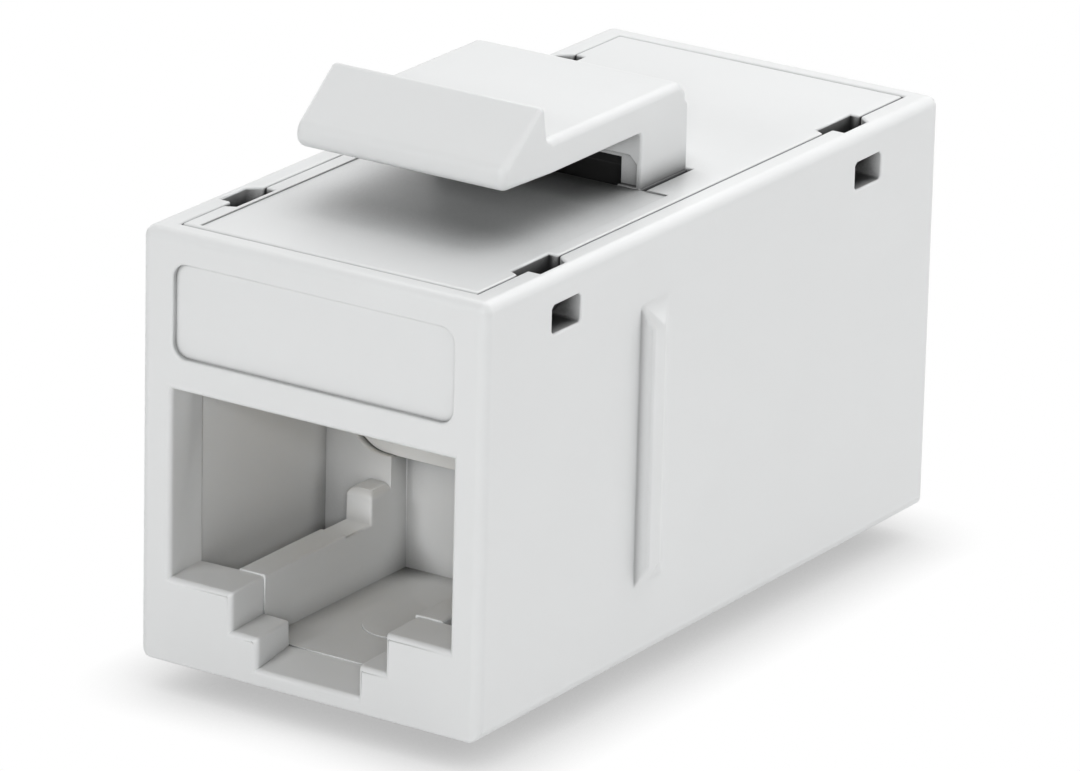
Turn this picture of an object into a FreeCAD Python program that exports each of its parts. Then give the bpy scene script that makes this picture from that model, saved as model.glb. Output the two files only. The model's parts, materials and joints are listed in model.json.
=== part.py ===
import FreeCAD, Part
import math
import os
import Sketcher

# Inline keystone coupler: an open-topped moulded housing with a modular port at each end, a cover that
# clips in and carries the release latch, and inside two contact carriers under a circuit board.
# Millimetres. X is across the ports, Y runs from the front face to the rear one and Z is up. Every
# piece is drawn with the housing's underside at Z = 0 and is then lifted by the depth of the catch.

Vector = FreeCAD.Vector

# Lengths closer than this count as the same
SAME = 1e-4

# Driving sizes: name, value, meaning
SIZES = (
    ("port_width", 11.9, "clear width of a port"),
    ("port_ceiling", 10.25, "height of the top of a port above the underside"),
    ("port_shoulder", 3.35, "height of the rails that the plug slides on"),
    ("shoulder_drop", 0.13, "how much lower the port's shoulders start at its face"),
    ("port_round", 0.25, "rounding of the port's front edges"),
    ("tab_channel_width", 6.4, "width of the channel for the plug's tab"),
    ("tab_ledge", 1.77, "height of the ledges beside the tab notch at the port's face"),
    ("ledge_rise", 0.1, "how much those ledges rise through the end wall"),
    ("tab_notch_width", 4.3, "width of the tab notch"),
    ("tab_notch_floor", 0.6, "height of the tab notch's ramp at the port's face"),
    ("sill_drop", 0.05, "drop from the housing's floor to that ramp"),
    ("side_wall", 1.3, "thickness of the side walls"),
    ("cavity_relief", 0.1, "how much wider the inside is than the ports at each side"),
    ("end_wall", 2.0, "thickness of the front and rear walls"),
    ("floor_thickness", 0.97, "thickness of the housing's floor"),
    ("body_length", 30.0, "length of the housing"),
    ("body_round", 0.4, "rounding of the upright and top edges"),
    ("base_round", 0.5, "rounding of the long edges underneath"),
    ("stop_depth", 9.8, "depth of the plug stops behind the port's face"),
    ("rail_width", 1.15, "width of the rails beside the tab channel"),
    ("rail_step", 7.0, "distance of the step in the rails behind the port's face"),
    ("rail_proud", 0.07, "how far the rails stand proud of the port's shoulders"),
    ("rail_relief", 0.1, "how much lower the rails are behind that step"),
    ("bump_rise", 1.15, "height of the bumps at the ends of the rails"),
    ("bump_length", 1.2, "length of those bumps"),
    ("bump_round", 0.35, "rounding of those bumps"),
    ("pin_mark_place", 5.85, "distance of the ejector pin marks behind the port's face"),
    ("pin_mark_radius", 1.38, "radius of the ejector pin marks on the floor"),
    ("pin_mark_rise", 0.06, "height of those marks"),
    ("partition_setback", 1.05, "depth of the partition behind the plug stops"),
    ("partition_thickness", 1.2, "thickness of the partition"),
    ("cradle_width", 10.3, "width of the cradle that a contact carrier drops into"),
    ("cradle_floor", 5.5, "height of the cradle's floor"),
    ("cradle_round", 1.6, "rounding of the cradle's lower corners"),
    ("label_side_margin", 1.35, "face left at each side of the label recess"),
    ("label_low_margin", 1.22, "face left between the port and the label recess"),
    ("label_high_margin", 1.14, "face left above the label recess"),
    ("label_depth", 0.25, "depth of the label recess"),
    ("label_round", 0.55, "corner rounding of the label recess"),
    ("seat_ledge", 0.3, "ledge under each long edge of the cover"),
    ("end_rim", 0.9, "rim left at each end of the cover's seat"),
    ("cover_gap", 0.05, "gap around the cover"),
    ("cover_thickness", 1.2, "thickness of the cover's plate"),
    ("cover_headroom", 2.0, "space between the circuit board and the cover"),
    ("cover_round", 0.15, "rounding of the cover's front and rear edges"),
    ("pad_side_margin", 0.6, "border at each side of the sunk pad under the latch"),
    ("pad_end_margin", 0.25, "border in front of the sunk pad"),
    ("pad_depth", 0.07, "depth of the sunk pad"),
    ("hook_place", 5.0, "distance of a snap hook's middle from the nearer end"),
    ("hook_width", 1.6, "width of a snap hook"),
    ("hook_thickness", 0.8, "thickness of a snap hook's tongue"),
    ("hook_reach", 0.75, "reach of a snap hook's barb"),
    ("hook_gap", 0.1, "gap around a snap hook"),
    ("hook_flank", 0.32, "lean of the barb's flank"),
    ("hook_lead", 0.2, "height of the lead-in under that flank"),
    ("window_drop", 1.14, "wall left above a snap window"),
    ("window_height", 1.03, "height of a snap window"),
    ("window_chamfer", 0.1, "chamfer of a snap window's corners"),
    ("cover_notch_ahead", 1.55, "reach of the cover's edge notches ahead of a hook's middle"),
    ("cover_notch_behind", 1.0, "reach of those notches behind it"),
    ("cover_notch_depth", 0.4, "depth of those notches"),
    ("cover_notch_slant", 0.2, "slant of their front ends"),
    ("rim_notch_ahead", 1.0, "reach of the housing's rim notches ahead of a hook's middle"),
    ("rim_notch_behind", 1.0, "reach of those notches behind it"),
    ("rim_notch_depth", 0.5, "depth of those notches into the wall"),
    ("rim_notch_drop", 0.9, "height of those notches"),
    ("rim_notch_slant", 0.42, "slant of their rear ends"),
    ("rib_rise", 0.52, "height of the stop ribs on the side walls"),
    ("rib_base", 1.88, "length of a stop rib along the wall"),
    ("rib_crest", 0.7, "length of its crest"),
    ("rib_face_depth", 0.12, "lean of its front face"),
    ("rib_low", 2.8, "height of its lower end"),
    ("rib_drop", 2.64, "distance of its upper end below the top"),
    ("rib_bevel", 0.86, "height of the bevel at each of its ends"),
    ("panel_gap", 1.9, "room for the panel between the catches and the stop ribs"),
    ("catch_face", 7.9, "distance of the catching faces behind the front face"),
    ("catch_depth", 1.2, "depth of the fixed catch under the housing"),
    ("catch_land", 0.6, "length of the catch's flat"),
    ("catch_ramp", 2.0, "length of the catch's ramp"),
    ("latch_width", 8.86, "width of the latch and of the fixed catch"),
    ("latch_nose", 5.15, "distance of the latch's nose behind the front face"),
    ("nose_height", 0.85, "height of that nose"),
    ("crest_rise", 1.5, "height of the latch's crest above its arm"),
    ("crest_overhang", 0.25, "lean of the latch's catching face"),
    ("latch_round", 0.25, "rounding of the latch's head"),
    ("arm_rise", 3.3, "height of the arm's top above the cover"),
    ("arm_thickness", 1.25, "thickness of the arm"),
    ("arm_root", 0.4, "length of arm left on the riser"),
    ("flex_gap", 0.05, "gap round the bending line of the arm"),
    ("riser_front", 13.95, "distance of the riser behind the front face"),
    ("riser_depth", 3.05, "depth of the riser"),
    ("riser_round", 0.7, "rounding of the riser's rear edge"),
    ("riser_wall", 0.97, "thickness of the riser's side and rear walls"),
    ("riser_hollow", 0.95, "height of the hollow inside the riser above the cover"),
    ("foot_groove_width", 0.25, "width of the groove along each side of the riser's foot"),
    ("foot_groove_depth", 0.2, "depth of that groove"),
    ("bridge_height", 1.15, "height of the recess in the riser's front"),
    ("bridge_margin", 0.18, "border at each side of that recess"),
    ("bridge_depth", 0.2, "depth of that recess"),
    ("bridge_chamfer", 0.3, "chamfer of that recess's upper corners"),
    ("carrier_plate", 1.65, "thickness of a carrier's plate"),
    ("carrier_gap", 0.1, "gap around a carrier"),
    ("carrier_setback", 0.2, "distance of a carrier's face behind the plug stops"),
    ("comb_depth", 1.5, "depth of the comb's slots"),
    ("comb_floor", 1.3, "solid left under the comb's slots"),
    ("groove_depth", 0.4, "depth of the contact grooves in the plate"),
    ("slot_gap", 0.08, "gap at each side of a contact"),
    ("contact_count", 8, "contacts in each port"),
    ("contact_pitch", 1.016, "distance between contacts"),
    ("contact_width", 0.45, "width of a contact"),
    ("contact_thickness", 0.3, "thickness of a contact"),
    ("contact_angle", 15.0, "slope of a contact's spring, in degrees"),
    ("contact_overrun", 0.8, "reach of the spring behind the plug stops"),
    ("contact_nose", 1.2, "distance of the contacts' bend behind the end wall"),
    ("tail_near", 7.0, "distance of the nearer row of solder tails behind the port's face"),
    ("tail_spacing", 2.5, "distance between the two rows"),
    ("tail_bend", 0.4, "radius of a contact's bend into its solder tail"),
    ("tail_stub", 0.35, "length of a solder tail above the board"),
    ("board_thickness", 1.0, "thickness of the circuit board"),
    ("board_width", 9.7, "width of the circuit board"),
    ("board_end_gap", 0.4, "gap at each end of the circuit board"),
    ("board_hole", 0.8, "diameter of the holes for the solder tails"),
    ("hold_rib", 0.8, "thickness of the cover's ribs that hold the board down"),
    ("hold_rib_width", 7.0, "width of those ribs"),
    ("hold_rib_place", 4.2, "distance of those ribs from the nearer end"),
)

doc = FreeCAD.newDocument("keystone_coupler")
sheet = doc.addObject("Spreadsheet::Sheet", "size")
for row, (alias, value, meaning) in enumerate(SIZES, start=1):
    sheet.set(f"A{row}", meaning)
    sheet.set(f"B{row}", str(value))
    sheet.setAlias(f"B{row}", alias)
doc.recompute()


class Measure:
    """A length that knows its formula, so that a sketch or a feature can be bound to the sheet."""

    def __init__(self, formula, number):
        self.formula = formula
        self.number = number

    def __add__(self, other):
        other = as_measure(other)
        return Measure(f"({self.formula} + {other.formula})", self.number + other.number)

    def __sub__(self, other):
        other = as_measure(other)
        return Measure(f"({self.formula} - {other.formula})", self.number - other.number)

    def __mul__(self, factor):
        return Measure(f"({self.formula} * {factor})", self.number * factor)

    def __truediv__(self, divisor):
        return Measure(f"({self.formula} / {divisor})", self.number / divisor)

    def __neg__(self):
        return Measure(f"(0 - {self.formula})", -self.number)


def as_measure(length):
    return length if isinstance(length, Measure) else Measure(str(length), length)


class Sizes:
    """The sheet's cells by name."""

    def __getattr__(self, name):
        return Measure(f"size.{name}", float(sheet.get(name)))


size = Sizes()

# Lines that several pieces share
half_length = size.body_length / 2
half_port = size.port_width / 2
half_cavity = half_port + size.cavity_relief
half_width = half_port + size.side_wall
plate_top = size.port_ceiling + size.carrier_plate
board_top = plate_top + size.board_thickness
cover_low = board_top + size.cover_headroom
body_top = cover_low + size.cover_thickness
half_seat_width = half_port + size.seat_ledge
half_seat_length = half_length - size.end_rim
half_cover_width = half_seat_width - size.cover_gap
half_cover_length = half_seat_length - size.cover_gap
half_channel = size.tab_channel_width / 2
half_latch = size.latch_width / 2
window_top = body_top - size.window_drop
window_low = window_top - size.window_height
arm_top = body_top + size.arm_rise
arm_low = arm_top - size.arm_thickness
arm_middle = arm_top - size.arm_thickness / 2
catch_line = size.catch_face - half_length
riser_line = size.riser_front - half_length
flex_line = riser_line - size.arm_root
first_contact = -(size.contact_pitch * (size.contact_count.number - 1)) / 2


def behind_front(distance):
    return distance - half_length


# Sketch and feature helpers
def new_sketch(body, name, role, offset=None):
    sketch = body.newObject("Sketcher::SketchObject", name)
    plane = next(item for item in body.Origin.OriginFeatures if item.Role == role)
    sketch.AttachmentSupport = [(plane, "")]
    sketch.MapMode = "FlatFace"
    if offset is not None:
        sketch.setExpression("AttachmentOffset.Base.z", offset.formula)
    return sketch


def bind(sketch, kind, line, length):
    constraint = Sketcher.Constraint(kind, -1, 1, line, 1, length.number)
    index = sketch.addConstraint(constraint)
    sketch.setExpression(f"Constraints[{index}]", length.formula)


def polygon(sketch, corners):
    """Closed outline with each corner bound to the sheet."""
    corners = [(as_measure(across), as_measure(along)) for across, along in corners]
    points = [Vector(across.number, along.number, 0) for across, along in corners]
    first = sketch.GeometryCount
    for start, end in zip(points, points[1:] + points[:1]):
        sketch.addGeometry(Part.LineSegment(start, end))
    for step in range(len(points)):
        follower = first + (step + 1) % len(points)
        sketch.addConstraint(Sketcher.Constraint("Coincident", first + step, 2, follower, 1))
    for step, (across, along) in enumerate(corners):
        bind(sketch, "DistanceX", first + step, across)
        bind(sketch, "DistanceY", first + step, along)


def rectangle(sketch, left, right, low, high):
    polygon(sketch, [(left, low), (right, low), (right, high), (left, high)])


def circle(sketch, across, along, radius):
    centre = Vector(across.number, along.number, 0)
    index = sketch.addGeometry(Part.Circle(centre, Vector(0, 0, 1), radius.number))
    for kind, length in (("DistanceX", across), ("DistanceY", along)):
        place = sketch.addConstraint(Sketcher.Constraint(kind, -1, 1, index, 3, length.number))
        sketch.setExpression(f"Constraints[{place}]", length.formula)
    ring = sketch.addConstraint(Sketcher.Constraint("Radius", index, radius.number))
    sketch.setExpression(f"Constraints[{ring}]", radius.formula)


def volume_of(body):
    return 0.0 if body.Shape.isNull() else body.Shape.Volume


def extrude(kind, sketch, length, reverse=False, symmetric=False):
    """Pad or pocket whose effect on the body's volume is tested."""
    body = sketch.getParentGeoFeatureGroup()
    doc.recompute()
    before = volume_of(body)
    feature = body.newObject(f"PartDesign::{kind}", sketch.Name.replace("sketch", kind.lower()))
    feature.Profile = sketch
    feature.SideType = "Symmetric" if symmetric else "One side"
    feature.Reversed = reverse
    feature.setExpression("Length", length.formula)
    doc.recompute()
    grown = volume_of(body) - before
    if (grown <= 0) == (kind == "Pad"):
        raise RuntimeError(f"{feature.Name} changes nothing")
    return feature


def pad(sketch, length, **options):
    return extrude("Pad", sketch, length, **options)


def pocket(sketch, length, **options):
    return extrude("Pocket", sketch, length, **options)


def round_edges(body, name, radius, chosen):
    """Fillet on the edges of the finished shape that the test picks."""
    base = body.Tip
    edges = [f"Edge{number}" for number, edge in enumerate(base.Shape.Edges, start=1) if chosen(edge)]
    fillet = body.newObject("PartDesign::Fillet", name)
    fillet.Base = (base, edges)
    fillet.setExpression("Radius", radius.formula)
    doc.recompute()
    return fillet


def runs_along(edge, axis):
    box = edge.BoundBox
    spans = {"X": box.XLength, "Y": box.YLength, "Z": box.ZLength}
    length = spans.pop(axis)
    return length > SAME and max(spans.values()) < SAME


def near(number, length):
    return abs(number - length.number) < SAME


def new_body(name, turned=False, across=None):
    """Body in its place: lifted off the surface by the catch and turned round for the rear port."""
    body = doc.addObject("PartDesign::Body", name)
    body.Label = name
    body.Placement = FreeCAD.Placement(Vector(0, 0, 0), Vector(0, 0, 1), 180 if turned else 0)
    body.setExpression("Placement.Base.z", size.catch_depth.formula)
    if across is not None:
        body.setExpression("Placement.Base.x", across.formula)
    return body


# Housing
def housing_block(body):
    section = new_sketch(body, "block_sketch", "XZ_Plane")
    rectangle(section, -half_width, half_width, 0, body_top)
    pad(section, size.body_length, symmetric=True)
    round_edges(body, "upper_edges", size.body_round, is_upper_edge)
    corners = new_sketch(body, "base_round_sketch", "XZ_Plane")
    for side in (-1, 1):
        base_corner(corners, side)
    pocket(corners, size.body_length * 2, symmetric=True)


def is_upper_edge(edge):
    return runs_along(edge, "Z") or near(edge.BoundBox.ZMin, body_top)


def base_corner(sketch, side):
    """What a rounded long edge leaves out of the square corner."""
    outer = half_width.number * side
    radius = size.base_round.number
    inner = outer - radius * side
    slant = radius * math.sqrt(0.5)
    middle = Vector(inner + slant * side, radius - slant, 0)
    corner = Vector(outer, 0, 0)
    upper = Vector(outer, radius, 0)
    lower = Vector(inner, 0, 0)
    sketch.addGeometry(Part.LineSegment(lower, corner))
    sketch.addGeometry(Part.LineSegment(corner, upper))
    sketch.addGeometry(Part.Arc(upper, middle, lower))


def housing_cavities(body):
    seat = new_sketch(body, "seat_sketch", "XY_Plane", body_top)
    rectangle(seat, -half_seat_width, half_seat_width, -half_seat_length, half_seat_length)
    pocket(seat, size.cover_thickness)

    inner_end = half_length - size.end_wall
    upper = new_sketch(body, "upper_cavity_sketch", "XY_Plane", cover_low)
    rectangle(upper, -half_cavity, half_cavity, -inner_end, inner_end)
    pocket(upper, cover_low - size.port_ceiling)

    stop_line = half_length - size.stop_depth
    rail_side = half_channel + size.rail_width
    partition_line = stop_line - size.partition_setback
    plug_spaces = new_sketch(body, "plug_space_sketch", "XY_Plane", size.port_ceiling)
    channels = new_sketch(body, "channel_sketch", "XY_Plane", size.port_shoulder)
    for end in (-1, 1):
        near_y, far_y = inner_end * end, stop_line * end
        rectangle(plug_spaces, -half_cavity, half_cavity, near_y, far_y)
        rectangle(channels, -half_channel, half_channel, near_y, partition_line * end)
        for side in (-1, 1):
            rectangle(channels, rail_side * side, half_cavity * side, near_y, far_y)
    pocket(plug_spaces, size.port_ceiling - size.port_shoulder)
    pocket(channels, size.port_shoulder - size.floor_thickness)

    tab_room = new_sketch(body, "tab_room_sketch", "XY_Plane", size.cradle_floor)
    middle = new_sketch(body, "middle_sketch", "XY_Plane", size.port_ceiling)
    for end in (-1, 1):
        rectangle(tab_room, -half_channel, half_channel, stop_line * end, partition_line * end)
    half_middle = partition_line - size.partition_thickness
    rectangle(middle, -half_cavity, half_cavity, -half_middle, half_middle)
    pocket(tab_room, size.cradle_floor - size.port_shoulder)
    pocket(middle, size.port_ceiling - size.floor_thickness)

    cradle = new_sketch(body, "cradle_sketch", "XZ_Plane")
    half_cradle = size.cradle_width / 2
    rectangle(cradle, -half_cradle, half_cradle, size.cradle_floor, size.port_ceiling)
    pocket(cradle, stop_line * 2, symmetric=True)
    round_edges(body, "cradle_corners", size.cradle_round, is_cradle_corner)


def is_cradle_corner(edge):
    box = edge.BoundBox
    low = near(box.ZMin, size.cradle_floor)
    at_side = near(abs(edge.CenterOfMass.x), size.cradle_width / 2)
    return low and at_side and runs_along(edge, "Y")


def housing_ports(body):
    """Stepped openings through the end walls: plug space, tab channel and tab notch."""
    half_notch = size.tab_notch_width / 2
    half_entry = half_channel + size.rail_proud
    shoulder = size.port_shoulder - size.rail_proud
    ledge = size.tab_ledge + size.ledge_rise
    sill = size.floor_thickness - size.sill_drop
    right = [
        (half_notch, sill),
        (half_notch, ledge),
        (half_entry, ledge),
        (half_entry, shoulder),
        (half_port, shoulder),
        (half_port, size.port_ceiling),
    ]
    left = [(-across, height) for across, height in reversed(right)]
    for end, name in ((-1, "front"), (1, "rear")):
        opening = new_sketch(body, f"{name}_port_sketch", "XZ_Plane", half_length * -end)
        polygon(opening, right + left)
        pocket(opening, size.end_wall, reverse=end > 0)
    lead_in(body, "shoulder", half_port, size.port_shoulder - size.shoulder_drop, shoulder)
    lead_in(body, "ledge", half_entry, size.tab_ledge, ledge)
    lead_in(body, "notch", half_notch, size.tab_notch_floor, sill)
    round_edges(body, "port_edges", size.port_round, is_port_edge)

    label = new_sketch(body, "label_sketch", "XZ_Plane", half_length)
    half_label = half_width - size.label_side_margin
    low = size.port_ceiling + size.label_low_margin
    rectangle(label, -half_label, half_label, low, body_top - size.label_high_margin)
    pocket(label, size.label_depth)
    round_edges(body, "label_corners", size.label_round, is_label_corner)


def lead_in(body, name, half_span, at_face, inside):
    """Ramp in each port, which rises from the port's face to the inside of the end wall."""
    ramp = new_sketch(body, f"{name}_ramp_sketch", "YZ_Plane")
    for end in (-1, 1):
        face_line, inner_line = half_length * end, (half_length - size.end_wall) * end
        polygon(ramp, [(face_line, at_face), (inner_line, inside), (face_line, inside)])
    pocket(ramp, half_span * 2, symmetric=True)


def is_port_edge(edge):
    box = edge.BoundBox
    at_face = near(abs(box.YMin), half_length) and near(abs(box.YMax), half_length)
    inside = abs(edge.CenterOfMass.x) < half_port.number + SAME
    below = box.ZMax < size.port_ceiling.number + SAME
    above = box.ZMin > size.tab_notch_floor.number - SAME
    return at_face and inside and below and above


def is_label_corner(edge):
    above_port = edge.BoundBox.ZMin > size.port_ceiling.number
    at_front = near(edge.BoundBox.YMin, -half_length)
    at_side = near(abs(edge.CenterOfMass.x), half_width - size.label_side_margin)
    return above_port and at_front and at_side and runs_along(edge, "Y")


def housing_snaps(body):
    notches = new_sketch(body, "rim_notch_sketch", "XY_Plane", body_top)
    windows = new_sketch(body, "window_sketch", "YZ_Plane")
    for end in (-1, 1):
        place = (half_length - size.hook_place) * end
        snap_window(windows, place)
        for side in (-1, 1):
            rim_notch(notches, place, side)
    pocket(notches, size.rim_notch_drop)
    pocket(windows, half_width * 4, symmetric=True)


def snap_window(sketch, place):
    half_window = size.hook_width / 2 + size.hook_gap
    half_flat = half_window - size.window_chamfer
    flat_low = window_low + size.window_chamfer
    flat_top = window_top - size.window_chamfer
    polygon(sketch, [
        (place - half_flat, window_low),
        (place + half_flat, window_low),
        (place + half_window, flat_low),
        (place + half_window, flat_top),
        (place + half_flat, window_top),
        (place - half_flat, window_top),
        (place - half_window, flat_top),
        (place - half_window, flat_low),
    ])


def rim_notch(sketch, place, side):
    inner = half_seat_width * side
    outer = (half_seat_width + size.rim_notch_depth) * side
    front = place - size.rim_notch_ahead
    rear = place + size.rim_notch_behind
    polygon(sketch, [(inner, front), (outer, front), (outer, rear - size.rim_notch_slant), (inner, rear)])


def housing_catch_and_ribs(body):
    catch = new_sketch(body, "catch_sketch", "YZ_Plane")
    ramp_end = catch_line - size.catch_land
    polygon(catch, [
        (catch_line, 0),
        (catch_line, -size.catch_depth),
        (ramp_end, -size.catch_depth),
        (ramp_end - size.catch_ramp, 0),
    ])
    pad(catch, size.latch_width, symmetric=True)

    stop_face = catch_line + size.panel_gap
    rib_high = body_top - size.rib_drop
    for side, name in ((-1, "left"), (1, "right")):
        base = new_sketch(body, f"{name}_rib_base", "YZ_Plane", half_width * side)
        rectangle(base, stop_face, stop_face + size.rib_base, size.rib_low, rib_high)
        crest = new_sketch(body, f"{name}_rib_crest", "YZ_Plane", (half_width + size.rib_rise) * side)
        crest_start = stop_face + size.rib_face_depth
        rectangle(
            crest,
            crest_start,
            crest_start + size.rib_crest,
            size.rib_low + size.rib_bevel,
            rib_high - size.rib_bevel,
        )
        rib = body.newObject("PartDesign::AdditiveLoft", f"{name}_rib")
        rib.Profile = base
        rib.Sections = [crest]
        rib.Ruled = True
        doc.recompute()


def housing_rails_and_marks(body):
    rail_side = half_channel + size.rail_width
    step_line = half_length - size.rail_step
    stop_line = half_length - size.stop_depth
    bump_line = stop_line + size.bump_length
    steps = new_sketch(body, "rail_step_sketch", "XY_Plane", size.port_shoulder)
    bumps = new_sketch(body, "bump_sketch", "XY_Plane", size.port_shoulder)
    for end in (-1, 1):
        for side in (-1, 1):
            inner, outer = half_channel * side, rail_side * side
            rectangle(steps, inner, outer, bump_line * end, step_line * end)
            rectangle(bumps, inner, outer, stop_line * end, bump_line * end)
    pocket(steps, size.rail_relief)
    pad(bumps, size.bump_rise)
    round_edges(body, "bump_edges", size.bump_round, is_bump_edge)

    marks = new_sketch(body, "pin_mark_sketch", "XY_Plane", size.floor_thickness)
    mark_line = half_length - size.pin_mark_place
    for end in (-1, 1):
        circle(marks, as_measure(0), mark_line * end, size.pin_mark_radius)
    pad(marks, size.pin_mark_rise)


def is_bump_edge(edge):
    """Upper edges of the bumps, apart from the ones along the plug stops."""
    stop_line = half_length - size.stop_depth
    at_top = near(edge.BoundBox.ZMin, size.port_shoulder + size.bump_rise)
    level = near(edge.BoundBox.ZMax, size.port_shoulder + size.bump_rise)
    at_stop = near(abs(edge.CenterOfMass.y), stop_line)
    return at_top and level and not at_stop


def make_housing():
    body = new_body("housing")
    housing_block(body)
    housing_cavities(body)
    housing_ports(body)
    housing_snaps(body)
    housing_rails_and_marks(body)
    housing_catch_and_ribs(body)
    return body


# Cover with its hooks and riser
def cover_plate(body):
    plate = new_sketch(body, "plate_sketch", "XY_Plane", cover_low)
    rectangle(plate, -half_cover_width, half_cover_width, -half_cover_length, half_cover_length)
    pad(plate, size.cover_thickness)
    round_edges(body, "cover_ends", size.cover_round, is_cover_end)

    notches = new_sketch(body, "cover_notch_sketch", "XY_Plane", body_top)
    for end in (-1, 1):
        place = (half_length - size.hook_place) * end
        for side in (-1, 1):
            cover_notch(notches, place, side)
    pocket(notches, size.cover_thickness)

    sunk = new_sketch(body, "sunk_pad_sketch", "XY_Plane", body_top)
    half_pad = half_cover_width - size.pad_side_margin
    rectangle(sunk, -half_pad, half_pad, -half_cover_length + size.pad_end_margin, riser_line)
    pocket(sunk, size.pad_depth)


def cover_notch(sketch, place, side):
    outer = half_cover_width * side
    inner = (half_cover_width - size.cover_notch_depth) * side
    front = place - size.cover_notch_ahead
    rear = place + size.cover_notch_behind
    polygon(sketch, [(outer, front), (inner, front + size.cover_notch_slant), (inner, rear), (outer, rear)])


def is_cover_end(edge):
    return near(edge.BoundBox.ZMin, body_top) and runs_along(edge, "X")


def cover_riser(body):
    back = riser_line + size.riser_depth
    riser = new_sketch(body, "riser_sketch", "YZ_Plane")
    polygon(riser, [
        (riser_line, body_top),
        (back, body_top),
        (back, arm_top),
        (flex_line, arm_top),
        (flex_line, arm_low),
        (riser_line, arm_low),
    ])
    pad(riser, size.latch_width, symmetric=True)
    round_edges(body, "riser_back", size.riser_round, is_riser_back)

    groove = new_sketch(body, "flex_groove_sketch", "YZ_Plane")
    circle(groove, flex_line, arm_middle, size.arm_thickness / 2 + size.flex_gap)
    pocket(groove, size.latch_width * 2, symmetric=True)

    bridge = new_sketch(body, "bridge_sketch", "XZ_Plane", -riser_line)
    half_bridge = half_latch - size.bridge_margin
    bridge_top = body_top + size.bridge_height
    polygon(bridge, [
        (-half_bridge, body_top),
        (half_bridge, body_top),
        (half_bridge, bridge_top - size.bridge_chamfer),
        (half_bridge - size.bridge_chamfer, bridge_top),
        (-half_bridge + size.bridge_chamfer, bridge_top),
        (-half_bridge, bridge_top - size.bridge_chamfer),
    ])
    pocket(bridge, size.bridge_depth)

    hollow = new_sketch(body, "hollow_sketch", "XY_Plane", cover_low)
    half_hollow = half_latch - size.riser_wall
    rectangle(hollow, -half_hollow, half_hollow, riser_line, back - size.riser_wall)
    pocket(hollow, size.cover_thickness + size.riser_hollow, reverse=True)

    grooves = new_sketch(body, "foot_groove_sketch", "XY_Plane", body_top)
    for side in (-1, 1):
        groove_side = (half_latch + size.foot_groove_width) * side
        rectangle(grooves, half_latch * side, groove_side, riser_line, back)
    pocket(grooves, size.foot_groove_depth)


def is_riser_back(edge):
    at_back = near(edge.CenterOfMass.y, riser_line + size.riser_depth)
    return at_back and near(edge.BoundBox.ZMin, arm_top) and runs_along(edge, "X")


def hook_profile(sketch, side):
    """Tongue with an outward barb that rests under the top of a snap window."""
    outer = half_port - size.hook_gap
    inner = outer - size.hook_thickness
    tip = outer + size.hook_reach
    catch = window_top - size.hook_gap
    barb_low = window_low + size.hook_gap
    corners = [
        (inner, cover_low),
        (inner, barb_low),
        (outer, barb_low),
        (tip - size.hook_flank, barb_low + size.hook_lead),
        (tip, catch),
        (outer, catch),
        (outer, cover_low),
    ]
    polygon(sketch, [(across * side, height) for across, height in corners])


def cover_hooks(body):
    for end, name in ((-1, "front"), (1, "rear")):
        place = (half_length - size.hook_place) * end
        hooks = new_sketch(body, f"{name}_hook_sketch", "XZ_Plane", -place)
        for side in (-1, 1):
            hook_profile(hooks, side)
        pad(hooks, size.hook_width, symmetric=True)


def cover_hold_ribs(body):
    ribs = new_sketch(body, "hold_rib_sketch", "XY_Plane", cover_low)
    half_rib = size.hold_rib_width / 2
    for end in (-1, 1):
        place = (half_length - size.hold_rib_place) * end
        rectangle(ribs, -half_rib, half_rib, place - size.hold_rib / 2, place + size.hold_rib / 2)
    pad(ribs, size.cover_headroom, reverse=True)


def make_cover():
    body = new_body("top_cover")
    cover_plate(body)
    cover_riser(body)
    cover_hooks(body)
    cover_hold_ribs(body)
    return body


# Latch: an arm that bends at its root, with a wedge head
def make_latch():
    body = new_body("latch")
    nose = behind_front(size.latch_nose)
    crest = catch_line - size.crest_overhang
    side_view = new_sketch(body, "latch_sketch", "YZ_Plane")
    polygon(side_view, [
        (nose, arm_low),
        (flex_line, arm_low),
        (flex_line, arm_top),
        (catch_line, arm_top),
        (crest, arm_top + size.crest_rise),
        (nose, arm_low + size.nose_height),
    ])
    pad(side_view, size.latch_width, symmetric=True)
    knuckle = new_sketch(body, "knuckle_sketch", "YZ_Plane")
    circle(knuckle, flex_line, arm_middle, size.arm_thickness / 2)
    pad(knuckle, size.latch_width, symmetric=True)
    round_edges(body, "latch_edges", size.latch_round, is_latch_head_edge)
    return body


def is_latch_head_edge(edge):
    ahead = edge.CenterOfMass.y < catch_line.number - size.crest_overhang.number / 2
    low = near(edge.CenterOfMass.z, arm_low) and not runs_along(edge, "X")
    return ahead and not low


# Contact carriers
def slot_row(body, name, depth, low_y, high_y, top):
    """One slot per contact, repeated along X."""
    half_slot = size.contact_width / 2 + size.slot_gap
    sketch = new_sketch(body, f"{name}_sketch", "XY_Plane", top)
    rectangle(sketch, first_contact - half_slot, first_contact + half_slot, low_y, high_y)
    slot = pocket(sketch, depth)
    row = body.newObject("PartDesign::LinearPattern", f"{name}_row")
    row.Originals = [slot]
    axis = next(item for item in body.Origin.OriginFeatures if item.Role == "X_Axis")
    row.Direction = (axis, [""])
    row.setExpression("Length", (-first_contact * 2).formula)
    row.setExpression("Occurrences", size.contact_count.formula)
    body.Tip = row
    doc.recompute()


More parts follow.
